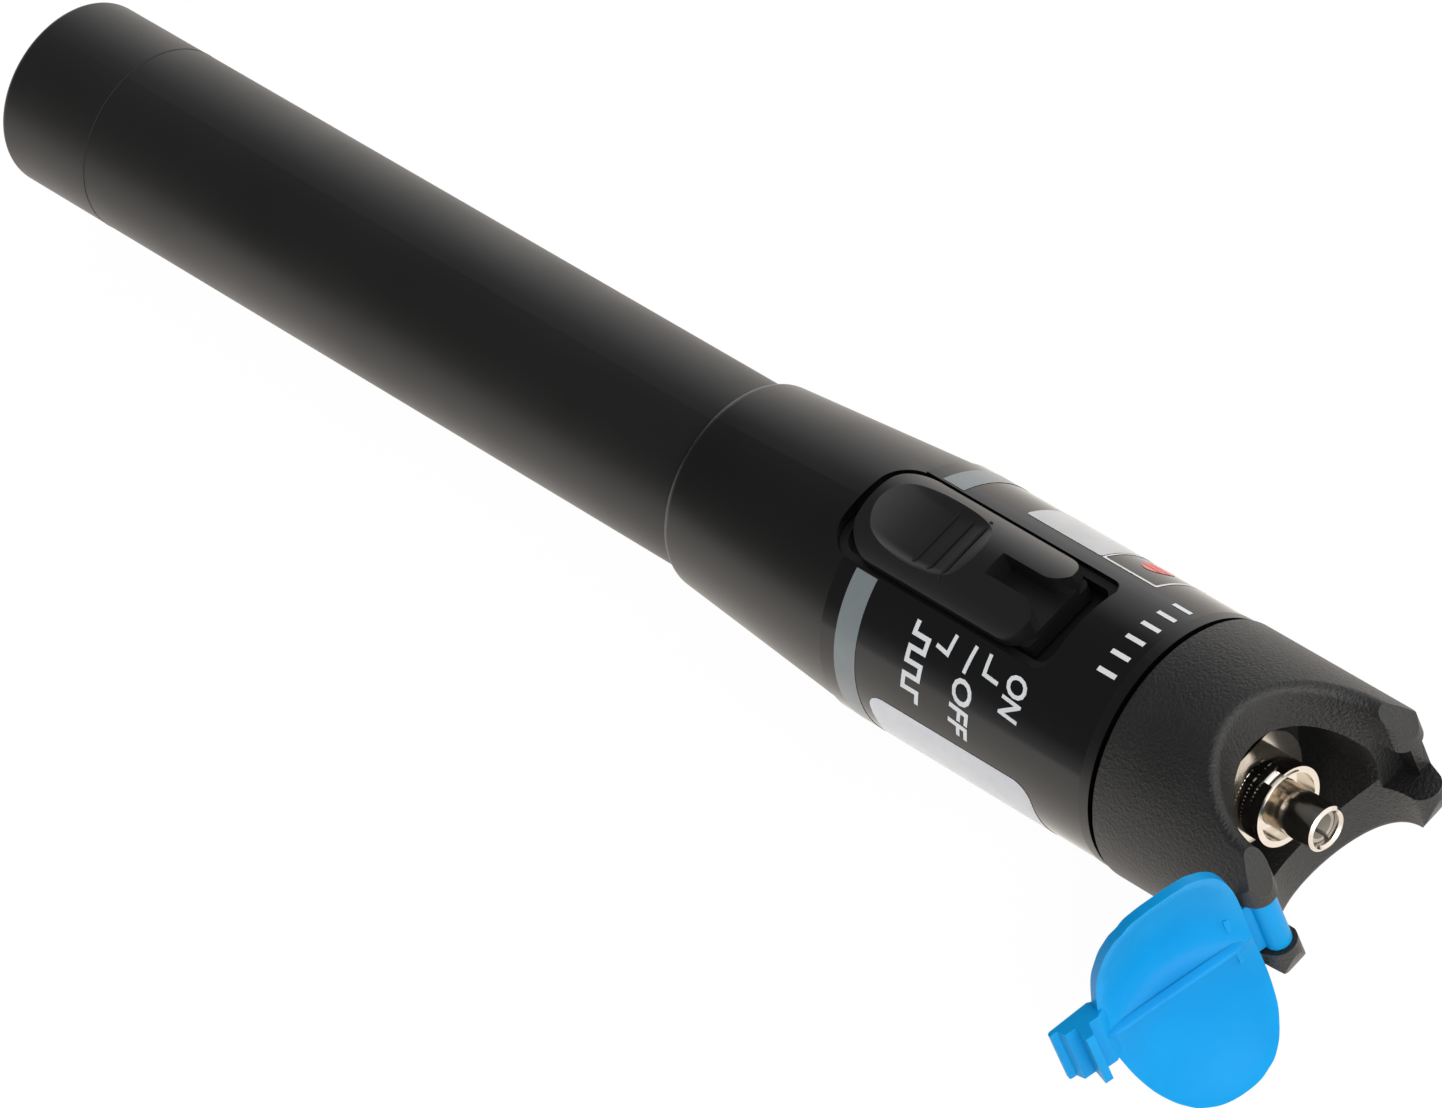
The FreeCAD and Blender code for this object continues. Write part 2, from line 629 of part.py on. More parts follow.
def port_body():
    nose = rod(PORT_NOSE_R, PORT_NOSE_REAR_X, PORT_NOSE_FRONT_X)
    flange = rod(PORT_FLANGE_R, BULKHEAD_FRONT_X, PORT_NOSE_REAR_X)
    flat = box(BULKHEAD_FRONT_X, PORT_NOSE_REAR_X, -PORT_FLANGE_R, PORT_FLANGE_R, PORT_FLAT_Z, PORT_FLANGE_R)
    barrel = rod(PORT_BARREL_R, PORT_BARREL_REAR_X, BULKHEAD_FRONT_X)
    body = nose.fuse(flange.cut(flat)).fuse(barrel)
    face_recess = rod(PORT_NOSE_R - PORT_NOSE_LIP, PORT_NOSE_FRONT_X - KEY_DEPTH, PORT_NOSE_FRONT_X)
    key = box(
        PORT_NOSE_FRONT_X - KEY_DEPTH, PORT_NOSE_FRONT_X, -KEY_WIDTH / 2, KEY_WIDTH / 2, 0, PORT_NOSE_R
    )
    body = body.cut(face_recess).cut(key)
    body = body.cut(rod(PORT_SLEEVE_R + SEAT_GAP, PORT_SLEEVE_REAR_X, PORT_NOSE_FRONT_X))
    return body.cut(rod(HOUSING_NOSE_R + SEAT_GAP, PORT_BARREL_REAR_X, PORT_SLEEVE_REAR_X)).removeSplitter()


def port_sleeve():
    tip_x = PORT_SLEEVE_STANDOUT
    body = tube(PORT_SLEEVE_R, PORT_SLEEVE_MOUTH_R, PORT_SLEEVE_REAR_X, tip_x)
    rims = edges_where(
        body,
        lambda e: is_ring(e, tip_x, PORT_SLEEVE_R) or is_ring(e, tip_x, PORT_SLEEVE_MOUTH_R),
    )
    return body.makeChamfer(SLEEVE_CHAMFER, rims)


def ceramic_sleeve():
    body = tube(CERAMIC_R, FERRULE_R, -CERAMIC_LENGTH, 0)
    return body.cut(box(-CERAMIC_LENGTH, 0, -CERAMIC_SLIT / 2, CERAMIC_SLIT / 2, -CERAMIC_R, 0))


# ---- head ----

def ear_plan(side):
    """The plan of one jaw: straight along the bore, round at its tip about the hinge line."""
    tip = Vector(HINGE_X, side * HINGE_Y, 0)
    root_x = HINGE_X - EAR_BLEND_LENGTH
    root = Vector(root_x, side * (HEAD_R + HEAD_EDGE_CHAMFER), 0)
    away = root.sub(tip)
    tangent_angle = math.atan2(away.y, away.x) - side * math.acos(EAR_R / away.Length)
    touch = tip + Vector(EAR_R * math.cos(tangent_angle), EAR_R * math.sin(tangent_angle), 0)
    front = tip + Vector(EAR_R, 0, 0)
    inner = tip + Vector(0, -side * EAR_R, 0)
    edges = [
        line(root, touch),
        arc_3(touch, front, inner),
        line(inner, Vector(HINGE_X, 0, 0)),
        line(Vector(HINGE_X, 0, 0), Vector(root_x, 0, 0)),
        line(Vector(root_x, 0, 0), root),
    ]
    face = Part.Face(Part.Wire(edges))
    face.translate(Vector(0, 0, -HEAD_R))
    return face.extrude(Vector(0, 0, 2 * HEAD_R))


def jaw_plan():
    """The space that the head keeps: all of its rear, and the two jaws with their round ears."""
    keep = box(HEAD_REAR_X, HINGE_X - EAR_BLEND_LENGTH, -2 * HEAD_R, 2 * HEAD_R, -2 * HEAD_R, 2 * HEAD_R)
    return keep.fuse(ear_plan(-1)).fuse(ear_plan(1))


def jaw_front():
    """What is cut from the jaws' front, so that it is round seen from the hinge's side."""
    centre_x = JAW_ROUND_FRONT_X - JAW_ROUND_R
    drum = Part.makeCylinder(JAW_ROUND_R, 4 * HEAD_R, Vector(centre_x, -2 * HEAD_R, 0), Y_AXIS)
    ahead = box(centre_x, TOOL_FRONT_X, -2 * HEAD_R, 2 * HEAD_R, -2 * HEAD_R, 2 * HEAD_R)
    return ahead.cut(drum)


def mouth_tool():
    """The upright U that opens the head above and below the port."""
    round_end = post(MOUTH_R, MOUTH_CENTRE_X, 0, -2 * HEAD_R, 2 * HEAD_R)
    throat = box(MOUTH_CENTRE_X, TOOL_FRONT_X, -MOUTH_R, MOUTH_R, -2 * HEAD_R, 2 * HEAD_R)
    return round_end.fuse(throat)


def hinge_channel():
    """The gap between the two hinge ears, round at the bottom about the hinge line."""
    half = CHANNEL_HALF_WIDTH
    bottom = post(CHANNEL_R, HINGE_X, -HINGE_Y, -half, half)
    front = box(HINGE_X, TOOL_FRONT_X, -HINGE_Y - 2 * EAR_R, -MOUTH_R, -half, half)
    outer_side = box(HINGE_X - STRAP_RECESS, TOOL_FRONT_X, -HEAD_R, -HINGE_Y, -half, half)
    return bottom.fuse(front).fuse(outer_side)


def catch_pocket():
    """The gap on the other side, where the cap's tongue snaps behind a low rim."""
    half = CHANNEL_HALF_WIDTH
    pocket = box(CATCH_FLOOR_X, TOOL_FRONT_X, MOUTH_R - EAR_R, CATCH_WALL_Y, -half, half)
    return pocket.fuse(box(CATCH_RIM_X, TOOL_FRONT_X, MOUTH_R, HEAD_R, -half, half))


def head():
    body = rod(HEAD_R, HEAD_REAR_X, TOOL_FRONT_X)
    body = body.makeChamfer(HEAD_EDGE_CHAMFER, edges_where(body, lambda e: is_ring(e, HEAD_REAR_X, HEAD_R)))
    body = body.cut(mouth_tool()).removeSplitter()
    body = body.makeFillet(MOUTH_EDGE_R, edges_where(body, on_mouth_rim))
    body = body.common(jaw_plan()).cut(jaw_front())
    spigot = rod(SLEEVE_BORE_R - SEAT_GAP, HEAD_REAR_X - HEAD_SPIGOT_LENGTH, HEAD_REAR_X)
    body = body.fuse(spigot)
    body = body.cut(rod(HEAD_SPIGOT_BORE_R, HEAD_REAR_X - HEAD_SPIGOT_LENGTH, BULKHEAD_FRONT_X - BULKHEAD_T))
    body = body.cut(rod(PORT_BARREL_R + SEAT_GAP, BULKHEAD_FRONT_X - BULKHEAD_T, BULKHEAD_FRONT_X))
    body = body.cut(rod(HEAD_BORE_R, BULKHEAD_FRONT_X, TOOL_FRONT_X))
    body = body.cut(hinge_channel()).cut(catch_pocket())
    socket_reach = CHANNEL_HALF_WIDTH + PIVOT_LENGTH + MOVING_GAP
    socket = post(PIVOT_R + PIVOT_GAP, HINGE_X, -HINGE_Y, -socket_reach, socket_reach)
    return body.cut(socket).removeSplitter()


def on_mouth_rim(edge):
    """True for an edge that lies both on the head's outside and on the wall of the mouth."""
    for share in (0.2, 0.5, 0.8):
        span = edge.LastParameter - edge.FirstParameter
        point = edge.valueAt(edge.FirstParameter + share * span)
        if point.x < MOUTH_CENTRE_X:
            off_mouth = abs(math.hypot(point.x - MOUTH_CENTRE_X, point.y) - MOUTH_R)
        else:
            off_mouth = abs(abs(point.y) - MOUTH_R)
        off_outside = abs(math.hypot(point.y, point.z) - HEAD_R)
        if max(off_outside, off_mouth) > SEAT_GAP / 5:
            return False
    return True


def head_upper_half(whole):
    """The half on the switch's side of the parting plane."""
    half_space = box(HEAD_REAR_X - HEAD_R, HINGE_X + HEAD_R, -HEAD_R, HEAD_R, 0, HEAD_R)
    return whole.common(half_space).removeSplitter()


# ---- dust cap, made in its own frame ----

def lobe_middle(z):
    """The u of the cap's middle line, which leans back towards the hinge at the tips."""
    return LOBE_CENTRE_U - LOBE_TIP_SHIFT * abs(z) / LOBE_HALF_HEIGHT


def lobe_surface(u, z):
    """How far the cap's inner face stands towards the head at (u, z)."""
    across = min(1.0, abs(u - lobe_middle(z)) / LOBE_HALF_WIDTH)
    up = min(1.0, abs(z) / LOBE_HALF_HEIGHT)
    ridge = RIDGE_N + RIDGE_CROWN * (1 - across**2)
    rim = RIM_N + RIM_RISE * up**2
    near_ridge = math.exp(-abs(z) / RIDGE_FOOT_Z)
    off_middle = (across**LOBE_EXPONENT + up**LOBE_EXPONENT) ** (1 / LOBE_EXPONENT)
    bowl = BOWL_DEPTH * max(0.0, 1 - (off_middle / BOWL_EDGE) ** 2)
    return near_ridge * ridge + (1 - near_ridge) * (rim - bowl)


def lobe_slab(side):
    """One lobe as a sheet of even wall, wider than its outline."""
    rows = []
    for i in range(LOBE_STEPS + 1):
        u = LOBE_CENTRE_U + (LOBE_HALF_WIDTH + LOBE_MARGIN) * (2 * i / LOBE_STEPS - 1)
        row = []
        for j in range(LOBE_STEPS + 1):
            z = side * (LOBE_HALF_HEIGHT + LOBE_MARGIN) * (j / LOBE_STEPS) ** 2
            row.append(Vector(u, lobe_surface(u, z), z))
        rows.append(row)
    sheet = Part.BSplineSurface()
    sheet.interpolate(rows)
    return sheet.toShape().extrude(Vector(0, -LOBE_WALL, 0))


def lobe_outline(side):
    """A prism on half of the cap's outline, a superellipse cut along the ridge."""
    points = []
    steps = 2 * LOBE_STEPS
    for step in range(steps + 1):
        angle = math.pi * step / steps
        c, s = math.cos(angle), math.sin(angle)
        z = side * LOBE_HALF_HEIGHT * abs(s) ** (2 / LOBE_EXPONENT)
        u = lobe_middle(z) + LOBE_HALF_WIDTH * math.copysign(abs(c) ** (2 / LOBE_EXPONENT), c)
        points.append(Vector(u, -LOBE_HALF_WIDTH, z))
    rim = Part.BSplineCurve()
    rim.interpolate(points)
    edges = [rim.toShape(), line(points[-1], points[0])]
    return Part.Face(Part.Wire(edges)).extrude(Vector(0, 2 * LOBE_HALF_WIDTH, 0))


def cap_clip():
    """The neck, hook tongue and stepped thumb tab, as one profile drawn across the clip."""
    neck_u = LOBE_CENTRE_U + LOBE_HALF_WIDTH - NECK_LAP
    outline = [
        (neck_u, CLIP_BACK_N + LOBE_WALL / 2),
        (neck_u + NECK_LAP, CLIP_BACK_N),
        (CLIP_END_U, CLIP_END_BACK_N),
        (CLIP_END_U, CLIP_TIP_N),
        (CLIP_STEP_U + TONGUE_FLANK, CLIP_TIP_N),
        (CLIP_STEP_U, CLIP_STEP_N),
        (TONGUE_U + TONGUE_WIDTH, CLIP_STEP_N),
        (TONGUE_U + TONGUE_WIDTH, TONGUE_TOP_N),
        (TONGUE_U, TONGUE_TOP_N),
        (TONGUE_U - TONGUE_FLANK, NECK_N),
        (neck_u + NECK_LAP, NECK_N),
        (neck_u, RIM_N),
    ]
    face = polygon_face([Vector(u, n, -CLIP_HALF_WIDTH) for u, n in outline])
    body = face.extrude(Vector(0, 0, 2 * CLIP_HALF_WIDTH))
    body = body.makeFillet(TONGUE_WIDTH / 3, edges_where(body, is_tongue_end))
    return body.makeFillet(CLIP_CORNER_R, edges_where(body, is_clip_end))


def is_tongue_end(edge):
    """True for the two short corners at the tongue's top."""
    ends = [v.Point for v in edge.Vertexes]
    at_top = all(abs(p.y - TONGUE_TOP_N) < 1e-4 for p in ends)
    return at_top and abs(ends[0].z - ends[-1].z) < 1e-4


def is_clip_end(edge):
    """True for the short upright corners at the tab's free end."""
    ends = [v.Point for v in edge.Vertexes]
    at_end = all(abs(p.x - CLIP_END_U) < 1e-4 for p in ends)
    return at_end and abs(ends[0].z - ends[-1].z) < 1e-4


def cap_barrel():
    """The hinge barrel, its two pivot stubs and the strap to the lobes."""
    half = CHANNEL_HALF_WIDTH - MOVING_GAP / 2
    barrel = post(BARREL_R, 0, 0, -half, half)
    stubs = post(PIVOT_R, 0, 0, -half - PIVOT_LENGTH, half + PIVOT_LENGTH)
    strap_end_u = LOBE_CENTRE_U - LOBE_HALF_WIDTH + STRAP_LAP
    strap = box(0, strap_end_u, STRAP_BACK_N, STRAP_BACK_N + LOBE_WALL, -STRAP_HALF_WIDTH, STRAP_HALF_WIDTH)
    return barrel.fuse(stubs).fuse(strap)


def swing_open(shape):
    """Moves a shape from the cap's own frame to its open place beside the head."""
    shape.rotate(Vector(0, 0, 0), Z_AXIS, CAP_OPEN_ANGLE)
    shape.translate(Vector(HINGE_X, -HINGE_Y, 0))
    return shape


def dust_cap():
    lobes = lobe_slab(-1).common(lobe_outline(-1)).fuse(lobe_slab(1).common(lobe_outline(1)))
    lobes = swing_open(lobes)
    ears = ear_plan(-1)
    ears.translate(Vector(0, -MOVING_GAP, 0))
    lobes = lobes.cut(ears.common(rod(HEAD_R + MOVING_GAP, HEAD_REAR_X, TOOL_FRONT_X)))
    return swing_open(cap_barrel()).fuse(lobes).fuse(swing_open(cap_clip())).removeSplitter()


def main():
    head_upper = head_upper_half(head())
    nodes = {
        "tail_cap": tail_cap(),
        "tail_seal_ring": tail_seal_ring(),
        "tail_spring": tail_spring(),
        "battery_rear": cell(REAR_CELL_X),
        "battery_front": cell(FRONT_CELL_X),
        "battery_tube": battery_tube(),
        "contact_disc": contact_disc(),
        "front_contact": front_contact(),
        "front_sleeve": front_sleeve(),
        "label_wrap": label_wrap(),
        "switch_bezel": switch_bezel(),
        "slider_knob": slider_knob(),
        "circuit_board": circuit_board(),
        "slide_switch_body": slide_switch_body(),
        "switch_lever": switch_lever(),
        "laser_housing": laser_housing(),
        "laser_diode": laser_diode(),
        "focus_lens": focus_lens(),
        "lens_ring": lens_ring(),
        "port_body": port_body(),
        "port_sleeve": port_sleeve(),
        "ceramic_sleeve": ceramic_sleeve(),
        "head_upper_shell": head_upper,
        "head_lower_shell": head_upper.mirror(Vector(0, 0, 0), Z_AXIS),
        "dust_cap": dust_cap(),
    }
    for name, shape in nodes.items():
        if len(shape.Solids) == 1:
            shape = shape.Solids[0]
        print(f"{name}: {len(shape.Solids)} solid, valid {shape.isValid()}, {shape.Volume:.1f} mm3")
        shape.exportStep(f"parts/{name}.step")


main()
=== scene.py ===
import math

import bmesh
import bpy
from mathutils import Matrix, Vector


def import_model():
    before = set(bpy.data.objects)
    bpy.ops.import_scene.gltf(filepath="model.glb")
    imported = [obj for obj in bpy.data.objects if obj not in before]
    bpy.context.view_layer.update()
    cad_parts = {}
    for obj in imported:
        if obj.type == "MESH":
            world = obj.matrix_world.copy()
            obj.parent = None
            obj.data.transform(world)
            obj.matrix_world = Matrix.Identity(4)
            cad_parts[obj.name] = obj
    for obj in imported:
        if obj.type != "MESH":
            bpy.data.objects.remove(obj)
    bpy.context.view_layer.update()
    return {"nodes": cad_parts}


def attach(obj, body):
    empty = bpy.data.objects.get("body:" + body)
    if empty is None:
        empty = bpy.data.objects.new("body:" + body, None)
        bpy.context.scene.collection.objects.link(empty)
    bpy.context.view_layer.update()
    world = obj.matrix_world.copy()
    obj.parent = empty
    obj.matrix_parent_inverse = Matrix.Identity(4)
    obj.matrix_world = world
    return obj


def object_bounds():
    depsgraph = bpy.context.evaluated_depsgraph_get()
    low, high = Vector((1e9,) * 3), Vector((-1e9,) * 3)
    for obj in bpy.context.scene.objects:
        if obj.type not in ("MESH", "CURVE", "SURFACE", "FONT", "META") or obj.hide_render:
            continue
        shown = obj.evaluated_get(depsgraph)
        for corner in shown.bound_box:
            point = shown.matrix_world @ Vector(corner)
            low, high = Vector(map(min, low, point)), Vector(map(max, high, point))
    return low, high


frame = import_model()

MM = 0.001
nodes = frame["nodes"]


# Lengths are in mm and angles in degrees, as in the CAD. Round the pen, degrees run from the
# switch's side (+Z) towards +Y. Places of the floor, the light and the camera are in metres.

# ---- sizes shared with the CAD ----
LABEL_R = 12.75
TUBE_R = 9.835
TAIL_SEAM_X = -158.9
NOSE_R = 4.0
NOSE_REAR_X = -7.8
NOSE_FRONT_X = -4.0
CAP_HINGE = (2.45, -9.9)
CAP_U = (-0.2588, -0.9659)       # out from the hinge, with the cap open at rest
CAP_N = (0.9659, -0.2588)        # up from the cap's inner face

# ---- the print on the wrap ----
PRINT_R = LABEL_R + 0.035
DEGREES_PER_MM = 1 / math.radians(1) / PRINT_R
PATCH_CUT = 0.5                  # strips that a field is cut into, to follow the curve
BAND_X = (-48.9, -46.2)
POCKET_EDGE = 27.5               # where the band stops beside the switch
LETTER_HEIGHT = 2.5
LETTER_WEIGHT = 0.022
LETTER_SLANT = 0.12
OFF_X, OFF_SPAN = -32.9, (-45.0, -71.5)
ON_X, ON_SPAN = -27.2, (-32.0, -51.0)
MARK_STROKE = 0.42
MIDDLE_BAR = [(-33.0, -30.3), (-33.3, -42.9)]
REAR_BRACKET = [(-35.5, -30.5), (-35.7, -39.4), (-37.2, -38.2)]
FRONT_BRACKET = [(-31.2, -30.1), (-31.1, -38.8), (-29.3, -39.5)]
PULSE_X = (-40.0, -38.2)
PULSE_ENDS = (-33.0, -68.0)
PULSE_FIRST_EDGE = -38.5
PULSE_EDGE_STEP = -6.0
PULSE_EDGES = 5
PULSE_STROKE = 0.5
SIDE_LABEL = (-44.8, -24.1, -150.0, -77.0)
SIDE_LABEL_CORNER = 2.0
FAR_FIELD = (-40.0, -30.5, 36.0, 112.0)
FAR_FIELD_CORNER = 0.3
FRAME_OUTER = (-30.4, -23.6, 36.0, 112.0)
FRAME_INNER = (-30.2, -23.85, 37.2, 110.8)
FRAME_CORNER = 0.2
CORNER_STEPS = 6
OVAL_CENTRE = (-27.2, 56.0)
OVAL_HALF = (1.35, 9.0)
OVAL_STEPS = 24
TICK_X = (-20.6, -18.4)
TICK_FIRST = -13.0
TICK_STEP = 9.0
TICK_COUNT = 6
TICK_STROKE = 0.5

# ---- the nose's thread, the cap's lip and the tail cap's seam ----
THREAD_PITCH = 0.8
THREAD_DEPTH = 0.22
THREAD_ROOT = -0.12
THREAD_START = 0.3               # from the nose's rear
THREAD_END_GAP = 0.5
THREAD_FADE = 0.3                # turns over which each end runs out
THREAD_STEPS = 64                # a turn
THREAD_PROFILE = [               # (pitches along x, height)
    (-0.5, THREAD_ROOT), (-0.10, THREAD_DEPTH), (0.10, THREAD_DEPTH), (0.5, THREAD_ROOT)]
RIDGE_START_U = 3.0
RIDGE_LENGTH = 15.3
RIDGE_FADE = 0.08                # the part of the length over which each end sinks
RIDGE_SINK = 0.75
RIDGE_STEPS = 48
RIDGE_SECTION = [                # (z, height over the cap's inner face)
    (-0.32, 0.50), (-0.22, 1.22), (-0.08, 1.36), (0.08, 1.34), (0.24, 1.18), (0.5, 0.60)]
SEAM_STEPS = 128
SEAM_SECTION = [(-0.07, 0.0), (-0.05, 0.025), (0.05, 0.025), (0.07, 0.0)]

# ---- floor, light and camera ----
FLOOR_SIZE = 6.0
FLOOR_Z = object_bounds()[0][2] - 0.00002
FLOOR_GREY = 0.86
FLOOR_GLOW = 0.93                # how much of the floor's look is plain white
FLOOR_GLOW_STRENGTH = 1.04
FLOOR_MIRRORED = (1.22, 1.15, 1.08)
TENT_GAP = (-0.604, -0.252, 0.756)
TENT_STRENGTH = 1.5
TENT_STOPS = [(0.55, 0.92), (0.76, 0.50), (0.87, 0.15), (0.95, 0.13)]
LIGHT_PLACE = (0.55, -0.15, 0.32)
LIGHT_TARGET = (0, 0, 0)
LIGHT_SIZE = 0.4
LIGHT_POWER = 1.8
CAMERA_PLACE = (0.41212, -0.24442, 0.59633)
CAMERA_RIGHT = (0.68579, 0.66784, -0.28926)
CAMERA_UP = (-0.41047, 0.68312, 0.60404)
CAMERA_BACK = (0.60100, -0.29552, 0.74261)
CAMERA_LENS = 215.3
CAMERA_SENSOR = 36.0
CAMERA_NEAR = 0.01


# ---- helpers: meshes ----

def mesh_object(name, verts, faces, body):
    """A smooth piece from corners in mm."""
    data = bpy.data.meshes.new(name)
    data.from_pydata([Vector(v) * MM for v in verts], [], faces)
    data.update()
    obj = bpy.data.objects.new(name, data)
    bpy.context.scene.collection.objects.link(obj)
    for poly in data.polygons:
        poly.use_smooth = True
    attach(obj, body)
    return obj


def strip_faces(sections, size, closed=False):
    """Faces between neighbouring sections of a swept shape, each section of `size` corners."""
    faces = []
    for i in range(sections if closed else sections - 1):
        here, there = i * size, (i + 1) % sections * size
        for k in range(size - 1):
            faces.append((here + k, here + k + 1, there + k + 1, there + k))
    return faces


def on_wrap(x, degrees, radius=PRINT_R):
    """A point on the wrap: x along the pen and degrees round it."""
    a = math.radians(degrees)
    return (x, radius * math.sin(a), radius * math.cos(a))


def wrap_patch(name, outline, material, inner=None):
    """A printed field: an outline of (x, degrees) points, laid on the wrap and cut into strips."""
    bm = bmesh.new()
    edges = []
    for loop in [outline] + ([inner] if inner else []):
        corners = [bm.verts.new((x, math.radians(d) * PRINT_R, 0)) for x, d in loop]
        for i, corner in enumerate(corners):
            edges.append(bm.edges.new((corner, corners[(i + 1) % len(corners)])))
    bmesh.ops.triangle_fill(bm, use_beauty=True, use_dissolve=False, edges=edges)
    low = min(v.co.y for v in bm.verts)
    high = max(v.co.y for v in bm.verts)
    steps = max(1, int((high - low) / PATCH_CUT))
    for i in range(1, steps):
        y = low + (high - low) * i / steps
        geom = bm.verts[:] + bm.edges[:] + bm.faces[:]
        bmesh.ops.bisect_plane(bm, geom=geom, plane_co=(0, y, 0), plane_no=(0, 1, 0))
    for v in bm.verts:
        a = v.co.y / PRINT_R
        v.co = Vector((v.co.x, PRINT_R * math.sin(a), PRINT_R * math.cos(a))) * MM
    bm.normal_update()
    for f in bm.faces:
        centre = f.calc_center_median()
        if f.normal.dot(Vector((0, centre.y, centre.z))) < 0:
            f.normal_flip()
        f.smooth = True
    data = bpy.data.meshes.new(name)
    bm.to_mesh(data)
    bm.free()
    data.materials.append(material)
    obj = bpy.data.objects.new(name, data)
    bpy.context.scene.collection.objects.link(obj)
    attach(obj, "barrel")
    return obj


def rounded_field(x0, x1, d0, d1, corner):
    """The outline of a field with round corners."""
    points = []
    for x, d, start in [(x0, d0, 180), (x1, d0, 270), (x1, d1, 0), (x0, d1, 90)]:
        inward_x = 1 if x == x0 else -1
        inward_d = 1 if d == d0 else -1
        for k in range(CORNER_STEPS + 1):
            a = math.radians(start + 90 // CORNER_STEPS * k)
            points.append((
                x + inward_x * corner + corner * math.cos(a),
                d + (inward_d * corner + corner * math.sin(a)) * DEGREES_PER_MM))
    return points


def stroke(points, width):
    """The outline of a line of even width through a few (x, degrees) points."""
    flat = [Vector((x, math.radians(d) * PRINT_R)) for x, d in points]
    left, right = [], []
    for i, p in enumerate(flat):
        before = (p - flat[i - 1]).normalized() if i else None
        after = (flat[i + 1] - p).normalized() if i + 1 < len(flat) else None
        if before is None:
            side = Vector((-after.y, after.x))
        elif after is None:
            side = Vector((-before.y, before.x))
        else:
            n1, n2 = Vector((-before.y, before.x)), Vector((-after.y, after.x))
            side = (n1 + n2) / (1 + n1.dot(n2))
        left.append(p + side * width / 2)
        right.append(p - side * width / 2)
    return [(p.x, p.y * DEGREES_PER_MM) for p in left + right[::-1]]


def words_on_wrap(name, text, x_centre, span, material):
    """A generic switch word, read round the pen, its letters' tops towards the port."""
    curve = bpy.data.curves.new(name + "_curve", "FONT")
    curve.body = text
    curve.size = 1.0
    curve.offset = LETTER_WEIGHT
    curve.shear = LETTER_SLANT
    curve.resolution_u = 3
    holder = bpy.data.objects.new(name + "_curve", curve)
    bpy.context.scene.collection.objects.link(holder)
    depsgraph = bpy.context.evaluated_depsgraph_get()
    data = bpy.data.meshes.new_from_object(holder.evaluated_get(depsgraph))
    bpy.data.objects.remove(holder)
    bpy.data.curves.remove(curve)
    us = [v.co.x for v in data.vertices]
    vs = [v.co.y for v in data.vertices]
    d_start, d_end = span
    length = math.radians(abs(d_end - d_start)) * PRINT_R
    along = length / (max(us) - min(us))
    across = LETTER_HEIGHT / (max(vs) - min(vs))
    sign = 1 if d_end > d_start else -1
    for v in data.vertices:
        u = (v.co.x - min(us)) * along
        h = (v.co.y - (max(vs) + min(vs)) / 2) * across
        v.co = Vector(on_wrap(x_centre + h, d_start + sign * math.degrees(u / PRINT_R))) * MM
    data.update()
    data.materials.clear()
    data.materials.append(material)
    data.name = name
    obj = bpy.data.objects.new(name, data)
    bpy.context.scene.collection.objects.link(obj)
    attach(obj, "barrel")
    return obj


# ---- helpers: materials ----

def new_material(name):
    mat = bpy.data.materials.new(name)
    mat.use_nodes = True
    tree = mat.node_tree
    tree.nodes.clear()
    out = tree.nodes.new("ShaderNodeOutputMaterial")
    shader = tree.nodes.new("ShaderNodeBsdfPrincipled")
    tree.links.new(shader.outputs[0], out.inputs[0])
    return mat, tree, shader


def position(tree, scale=(1, 1, 1)):
    coords = tree.nodes.new("ShaderNodeTexCoord")
    mapping = tree.nodes.new("ShaderNodeMapping")
    mapping.inputs["Scale"].default_value = scale
    tree.links.new(coords.outputs["Object"], mapping.inputs["Vector"])
    return mapping.outputs["Vector"]


def noise(tree, vector, scale, detail=2.0, rough=0.5):
    node = tree.nodes.new("ShaderNodeTexNoise")
    node.inputs["Scale"].default_value = scale
    node.inputs["Detail"].default_value = detail
    node.inputs["Roughness"].default_value = rough
    tree.links.new(vector, node.inputs["Vector"])
    return node.outputs["Fac"]


def grey(value):
    return (value,) * 3


def ramp(tree, value, stops):
    node = tree.nodes.new("ShaderNodeValToRGB")
    element = node.color_ramp.elements
    while len(element) < len(stops):
        element.new(0.5)
    for e, (place, colour) in zip(element, stops):
        e.position = place
        e.color = (*colour, 1)
    tree.links.new(value, node.inputs["Fac"])
    return node.outputs["Color"]


def two_tones(tree, value, dark, light, spread=0.2):
    """From one tone to the other, round the middle of a noise."""
    return ramp(tree, value, [(0.5 - spread, dark), (0.5 + spread, light)])


def bump(tree, shader, height, strength, distance):
    node = tree.nodes.new("ShaderNodeBump")
    node.inputs["Strength"].default_value = strength
    node.inputs["Distance"].default_value = distance
    tree.links.new(height, node.inputs["Height"])
    tree.links.new(node.outputs["Normal"], shader.inputs["Normal"])


def set_value(shader, **values):
    for key, value in values.items():
        shader.inputs[key.replace("_", " ")].default_value = value


def grained(name, dark, light, grain, roughness, strength, depth):
    """Two close tones in soft patches, a varied roughness, and a fine grain (per m) in the bump."""
    mat, tree, shader = new_material(name)
    vec = position(tree)
    fine = noise(tree, vec, grain, 3.0, 0.6)
    soft = noise(tree, vec, 60.0, 3.0, 0.5)
    tree.links.new(two_tones(tree, soft, dark, light), shader.inputs["Base Color"])
    varied = two_tones(tree, soft, grey(roughness - 0.04), grey(roughness + 0.04))
    tree.links.new(varied, shader.inputs["Roughness"])
    bump(tree, shader, fine, strength, depth)
    return mat


def printed(name, colour, roughness=0.35):
    """Ink under the wrap's clear film."""
    mat, tree, shader = new_material(name)
    vec = position(tree)
    soft = noise(tree, vec, 400.0)
    shade = [c * 0.93 for c in colour]
    tree.links.new(two_tones(tree, soft, shade, colour, 0.15), shader.inputs["Base Color"])
    set_value(shader, Roughness=roughness, Coat_Weight=0.3, Coat_Roughness=0.12)
    bump(tree, shader, noise(tree, vec, 3000.0), 0.05, 0.00002)
    return mat


